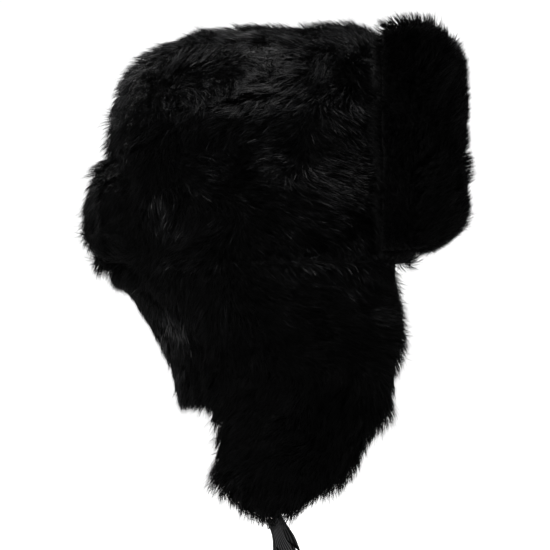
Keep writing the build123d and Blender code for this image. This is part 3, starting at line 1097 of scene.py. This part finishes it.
def shell(name, grid, inward, thick, material, closed=True):
    """Closed sheet from a grid of points (rows x columns): a face at the grid and a back behind
    it. closed joins the last column to the first."""
    nr, nc = grid.shape[:2]
    verts = np.concatenate([grid.reshape(-1, 3), (grid - inward * thick).reshape(-1, 3)])
    back = nr * nc
    faces = []

    def wall(a, b, flip):
        faces.append((a, b, back + b, back + a) if flip else (a, back + a, back + b, b))

    cols = nc if closed else nc - 1
    for r in range(nr - 1):
        for c in range(cols):
            a, b = r * nc + c, r * nc + (c + 1) % nc
            d, e = a + nc, b + nc
            faces.append((a, b, e, d))
            faces.append((back + a, back + d, back + e, back + b))
    for r, flip in ((0, False), (nr - 1, True)):
        for c in range(cols):
            wall(r * nc + c, r * nc + (c + 1) % nc, flip)
    if not closed:
        for r in range(nr - 1):
            for c, flip in ((0, True), (nc - 1, False)):
                wall(r * nc + c, (r + 1) * nc + c, flip)
    mesh = bpy.data.meshes.new(name)
    mesh.from_pydata([tuple(v) for v in verts], [], faces)
    mesh.validate()
    dress(mesh, material)
    return link(name, mesh)


def find_seam_ring(surface):
    """Height and radius of the lining's top seam at each azimuth."""
    ring = []
    for a in AZIMUTHS:
        z = CROWN_Z
        for _ in range(6):
            h = hit(surface, (0, 0, z - CAST_MARGIN), level_way(a))
            r = 0.082 if h is None else math.hypot(h[0], h[1])
            z = CROWN_Z - math.tan(TILT) * r * math.sin(a) - 0.0006
        ring.append((z, r))
    return ring


def level_grid(surface, rows, bottom, tops, radii, cast_low, cast_highs):
    """Grid on a band, cast level from the axis; a miss keeps the last radius of its column."""
    grid = np.zeros((rows, AROUND, 3))
    inward = np.zeros((rows, AROUND, 3))
    for j, a in enumerate(AZIMUTHS):
        way = level_way(a)
        radius = radii[j]
        for i in range(rows):
            z = bottom + (tops[j] - bottom) * i / (rows - 1)
            h = hit(surface, (0, 0, max(cast_low, min(z, cast_highs[j]))), way)
            if h is not None:
                radius = math.hypot(h[0], h[1])
            grid[i, j] = way * radius + np.array((0, 0, z))
            inward[i, j] = -way
    return grid, inward


def noise_on(grid, scale, seed):
    return fbm(grid.reshape(-1, 3), scale, seed).reshape(grid.shape[:2])


def lining_band(surface, ring):
    """Satin band, quilted above its plain lower part."""
    tops, radii = zip(*ring)
    grid, inward = level_grid(surface, 44, 0.0015, tops, radii, cast_low=0.0,
                              cast_highs=[z - CAST_MARGIN for z in tops])
    height = grid[:, :, 2] / MM
    turn = np.tile(AZIMUTHS / (2 * math.pi), (len(grid), 1))
    quilt = diamonds(11 * turn + height / 48, 11 * turn - height / 48)
    quilt = quilt * smooth(height, 20, 34) * smooth(height[-1:] - height, 0, 10)
    wrinkle = 0.35 * noise_on(grid, 0.012, 91)
    grid = grid + inward * (QUILT_HEIGHT * quilt + wrinkle + 0.4)[:, :, None] * MM
    ob = shell("crown_lining_band_quilted", grid, inward, LINING_THICK, SATIN)
    attach(ob, "crown", "crown_lining_band")


def lining_top(surface, ring):
    """Satin cap, cast from a centre inside the crown, from the seam up to near the middle."""
    rows = 34
    centre = np.array((0, 0, 0.085))
    grid = np.zeros((rows, AROUND, 3))
    inward = np.zeros((rows, AROUND, 3))
    for j, (azimuth, (z, r)) in enumerate(zip(AZIMUTHS, ring)):
        rim = np.array((r * math.cos(azimuth), r * math.sin(azimuth), z + 0.0012)) - centre
        distance = float(np.linalg.norm(rim))
        rim = rim / distance
        level = unit(np.array((rim[0], rim[1], 0)))
        for i in range(rows):
            t = i / (rows - 1) * 0.995
            angle = math.acos(max(-1, min(1, rim[2]))) * (1 - t)
            way = level * math.sin(angle) + np.array((0, 0, math.cos(angle)))
            h = hit(surface, centre, way)
            if h is not None:
                distance = float(np.linalg.norm(h - centre))
            grid[i, j] = centre + way * distance
            inward[i, j] = -way
    x, y = grid[:, :, 0] / MM, grid[:, :, 1] / MM
    edge = np.linspace(0, 1, rows)[:, None]
    quilt = diamonds((x + y) / 46 + 0.25, (x - y) / 46 + 0.25) * smooth(edge, 0.02, 0.12)
    grid = grid + inward * (QUILT_HEIGHT * quilt + 0.3)[:, :, None] * MM
    ob = shell("crown_lining_top_quilted", grid, inward, LINING_THICK, SATIN)
    attach(ob, "crown", "crown_lining_top")


def stitch_row(name, places, ways, length, radius, body):
    """Short rounded stitches at places, lying along ways."""
    verts, faces = [], []
    sides = 8
    # (place along the stitch, share of the radius)
    profile = [(-0.5, 0.12), (-0.42, 0.75), (-0.2, 1.0), (0.2, 1.0), (0.42, 0.75), (0.5, 0.12)]
    for place, way in zip(places, ways):
        way = way / np.linalg.norm(way)
        a = np.cross(way, (0.1, 0.2, 0.97))
        a = a / np.linalg.norm(a)
        b = np.cross(way, a)
        start = len(verts)
        for x, share in profile:
            for q in range(sides):
                angle = 2 * math.pi * q / sides
                offset = (a * math.cos(angle) + b * math.sin(angle)) * (share * radius)
                verts.append(tuple(place + way * x * length + offset))
        for i in range(len(profile) - 1):
            low, high = start + i * sides, start + (i + 1) * sides
            for q in range(sides):
                q2 = (q + 1) % sides
                faces.append((low + q, low + q2, high + q2, high + q))
        faces.append(tuple(start + q for q in range(sides))[::-1])
        faces.append(tuple(start + (len(profile) - 1) * sides + q for q in range(sides)))
    mesh = bpy.data.meshes.new(name)
    mesh.from_pydata(verts, [], faces)
    dress(mesh, THREAD)
    ob = link(name, mesh)
    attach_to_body(ob, body)


def sweatband():
    """Leather band with a rolled lower edge and two stitched grooves."""
    rows, bottom, top = 26, 0.0018, 0.0332
    grid, inward = level_grid(cad_tree("sweatband"), rows, bottom, [top] * AROUND,
                              [0.09] * AROUND, cast_low=0.0030, cast_highs=[0.0325] * AROUND)
    t = np.linspace(0, 1, rows)[:, None]
    roll = 0.7 * bell(t, 0.06, 0.05) - 0.35 * bell(t, 0.16, 0.02) - 0.35 * bell(t, 0.93, 0.02)
    wave = 0.3 * noise_on(grid, 0.03, 92)
    grid = grid + inward * (roll + wave + 0.2)[:, :, None] * MM
    ob = shell("sweatband_leather", grid, inward, 1.2 * MM, LEATHER)
    attach(ob, "crown", "sweatband")

    pitch = 0.0032
    for row, tag in ((4, "lower"), (24, "upper")):
        ring = grid[row] + inward[row] * 0.25 * MM
        steps = np.linalg.norm(np.roll(ring, -1, 0) - ring, axis=1)
        run = np.concatenate([[0], np.cumsum(steps)])
        at = np.linspace(0, run[-1], int(run[-1] / pitch), endpoint=False)
        loop = np.concatenate([ring, ring[:1]])
        places = np.stack([np.interp(at, run, loop[:, k]) for k in range(3)], 1)
        ways = np.roll(places, -1, 0) - np.roll(places, 1, 0)
        stitch_row(f"sweatband_stitches_{tag}", places, ways, 2.3 * MM, 0.28 * MM, "crown")


band = cad_tree("crown_lining_band")
seam_ring = find_seam_ring(band)
lining_band(band, seam_ring)
lining_top(cad_tree("crown_lining_top"), seam_ring)
sweatband()


# ------------------------------------------------------------------ ties
RIBS = 7
RIB_STEPS = 10  # columns per rib
TIE_LEAN = math.radians(18)  # the tie hangs forwards of straight down
TIE_ROOT = 9  # mm of ribbon above the top of the CAD tie


def ribbon(side, outward):
    """Grosgrain tie, gathered where it leaves the lobe: the long ply, and outside it a short ply
    that ends along a slant. Lengths along and across it are in mm."""
    name = f"tie_ribbon_{side}"
    co = np.array([tuple(v) for v in world_points(name)])
    along = np.array((0, -math.sin(TIE_LEAN), -math.cos(TIE_LEAN)))
    across = np.array((0, -math.cos(TIE_LEAN), math.sin(TIE_LEAN)))
    run = co @ along
    start, end = run.min(), run.max()
    side_curve = np.polyfit((run - start) / (end - start), co[:, 0], 3)
    spread = co @ across
    middle = (spread.max() + spread.min()) / 2
    cols = RIBS * RIB_STEPS + 1
    u = np.linspace(-1, 1, cols)  # across the ribbon
    rib = np.abs(np.sin(math.pi * (u + 1) / 2 * RIBS)) ** 1.3
    total = (end - start) / MM + TIE_ROOT
    for ply, rows, half_width in (("long", 110, 7.0), ("folded", 44, 6.4)):
        is_long = ply == "long"
        grid = np.zeros((rows, cols, 3))
        normals = np.zeros((rows, cols, 3))
        painted_groove_shade = np.zeros((rows, cols))
        for i in range(rows):
            q = i / (rows - 1)
            if is_long:
                d = q * (np.full(cols, total) + u * 2.6 * (q > 0.97))
            else:
                d = q * (19.0 + 9.5 * (u + 1) ** 1.15)
            gather = 0.50 + 0.50 * smooth(d, 8, 30)
            far = d / total
            if is_long:
                twist = 0.26 * np.sin(3.1 * far + 0.4) * far * 1.4
                shift = -0.3 - 1.0 * smooth(d, 6, 30)
                depth = -0.55
                fade = 1
            else:
                twist = 0.05 * np.sin(d / 9)
                shift = 0.4 + 1.6 * smooth(d, 6, 40)
                depth = 0.75 + 0.5 * np.sin(math.pi * q) - 1.5 * smooth(q, 0.90, 1.0)
                fade = 1 - 0.8 * smooth(q, 0.86, 0.97)
            sideways = across[None] * np.cos(twist)[:, None]
            sideways = sideways + np.array((outward, 0, 0))[None] * np.sin(twist)[:, None]
            normal = np.cross(along[None].repeat(cols, 0), sideways)
            normal *= np.sign(normal[:, :1] * outward)
            bend = 1.7 * np.sin(4.2 * far + 0.3) * far
            below = (d - TIE_ROOT) * MM
            centre = along[None] * (start + below)[:, None]
            centre = centre + across[None] * (middle + shift * MM)[:, None]
            centre[:, 0] = np.polyval(side_curve, np.clip(below / (end - start), 0, 1))
            centre[:, 0] += outward * (depth + bend) * MM
            curl = 1.0 * (u**2) * np.sin(2.5 * far + 0.6)
            curl = curl + 0.5 * np.sin(2.2 * u + d / 6) * (1 - smooth(d, 20, 45))
            selvedge = 0.20 * (np.abs(u) > 0.95)
            raised = (curl + 0.30 * rib * gather + selvedge) * MM
            half = half_width * gather
            grid[i] = centre + (u * half * MM)[:, None] * sideways + raised[:, None] * normal
            normals[i] = normal
            # painted shade: the rib attribute is low in the grooves between ribs and along both
            # edges; on the folded ply it also falls towards the end
            painted_groove_shade[i] = rib * (np.abs(u) < 0.96) * fade
        ob = shell(f"{name}_{ply}_ply", grid, normals, 0.7 * MM, GROSGRAIN, closed=False)
        if is_long:
            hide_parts(name)
        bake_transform(ob)
        tone = ob.data.attributes.new("rib", "FLOAT", "POINT")
        both = np.concatenate([painted_groove_shade.ravel(), painted_groove_shade.ravel()])
        tone.data.foreach_set("value", both.astype(np.float32))


def bar_tack(side, outward):
    """Row of zigzag stitches over the tack that holds the tie."""
    name = f"tie_bar_tack_{side}"
    co = np.array([tuple(v) for v in world_points(name)])
    lo, hi = co.min(0), co.max(0)
    x = (lo[0] + hi[0]) / 2 + outward * 0.9 * MM
    z = lo[2] + (hi[2] - lo[2]) / 2
    count = 22
    places = [np.array((x, lo[1] + (i + 0.5) / count * (hi[1] - lo[1]), z)) for i in range(count)]
    ways = [np.array((0.0, 0.25 * (-1) ** i, 1.0)) for i in range(count)]
    stitch_row(f"{name}_stitches", places, ways, 2.9 * MM, 0.32 * MM, f"ear_flap_{side}")
    materials = bpy.data.objects[name].data.materials
    materials.clear()
    materials.append(THREAD)


for side, outward in (("left", 1), ("right", -1)):
    ribbon(side, outward)
    bar_tack(side, outward)


# ------------------------------------------------------------------ stage
FLOOR_GAP = 0.004
FLOOR_HALF = 40.0


def floor_material():
    """White paper that also glows towards the camera."""
    material, tree, shader = new_material("floor_paper")
    coords = tree.nodes.new("ShaderNodeTexCoord").outputs["Object"]
    grain = noise(tree, coords, Scale=90.0, Detail=4.0)
    tint = ramp(tree, [(0.3, grey(0.90)), (0.7, grey(0.93))], grain)
    tree.links.new(tint, shader.inputs["Base Color"])
    shader.inputs["Roughness"].default_value = 0.9
    shader.inputs["Specular IOR Level"].default_value = 0.1
    shader.inputs["Emission Color"].default_value = (1, 1, 1, 1)
    path = tree.nodes.new("ShaderNodeLightPath")
    glow = node(tree, "ShaderNodeMath", operation="MULTIPLY")
    tree.links.new(path.outputs["Is Camera Ray"], glow.inputs[0])
    glow.inputs[1].default_value = 1.0
    tree.links.new(glow.outputs[0], shader.inputs["Emission Strength"])
    return material


def make_floor():
    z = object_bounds()[0].z - FLOOR_GAP
    mesh = bpy.data.meshes.new("floor")
    corners = [(x * FLOOR_HALF, y * FLOOR_HALF, z) for x, y in ((-1, -1), (1, -1), (1, 1), (-1, 1))]
    mesh.from_pydata(corners, [], [(0, 1, 2, 3)])
    floor = link("floor", mesh)
    mesh.materials.append(floor_material())


def make_world(ambient, backdrop):
    """White world: ambient is its strength as light, backdrop its strength to the camera."""
    world = bpy.data.worlds.new("studio")
    bpy.context.scene.world = world
    world.use_nodes = True
    tree = world.node_tree
    background = tree.nodes["Background"]
    background.inputs["Color"].default_value = (1, 1, 1, 1)
    path = tree.nodes.new("ShaderNodeLightPath")
    mix = node(tree, "ShaderNodeMix", data_type="FLOAT")
    tree.links.new(path.outputs["Is Camera Ray"], mix.inputs[0])
    mix.inputs[2].default_value = ambient
    mix.inputs[3].default_value = backdrop
    tree.links.new(mix.outputs[0], background.inputs["Strength"])


def area(name, place, target, size, power):
    """Round area light aimed at target."""
    light = bpy.data.lights.new(name, "AREA")
    light.shape = "DISK"
    light.size = size
    light.energy = power
    ob = link(name, light)
    ob.location = place
    ob.rotation_mode = "QUATERNION"
    ob.rotation_quaternion = (Vector(target) - Vector(place)).to_track_quat("-Z", "Y")


def make_camera(centre, distance, view_width, sensor=36):
    """Camera on the wearer's right, looking level; view_width is what it sees at the centre."""
    data = bpy.data.cameras.new("camera")
    camera = link("camera", data)
    bpy.context.scene.camera = camera
    data.sensor_width = sensor
    data.lens = sensor * distance / view_width
    camera.location = Vector(centre) + Vector((-distance, 0, 0))
    camera.rotation_mode = "QUATERNION"
    camera.rotation_quaternion = Vector((1, 0, 0)).to_track_quat("-Z", "Y")


make_floor()
make_world(ambient=0.035, backdrop=1.05)
area("key", place=(-1.4, 0.9, 1.5), target=(0, 0, 0.04), size=0.6, power=50)
area("key_far", place=(1.4, 0.7, 1.5), target=(0, 0, 0.04), size=0.6, power=34)
area("front", place=(0.5, -1.9, 0.8), target=(0, 0, 0.0), size=0.8, power=10)
area("under", place=(-0.5, 0.6, -0.2), target=(0, 0, 0.05), size=0.3, power=0.5)
make_camera(centre=(0.0, -0.0077, -0.0091), distance=2.6, view_width=0.385)
bpy.context.scene.view_settings.view_transform = "Standard"
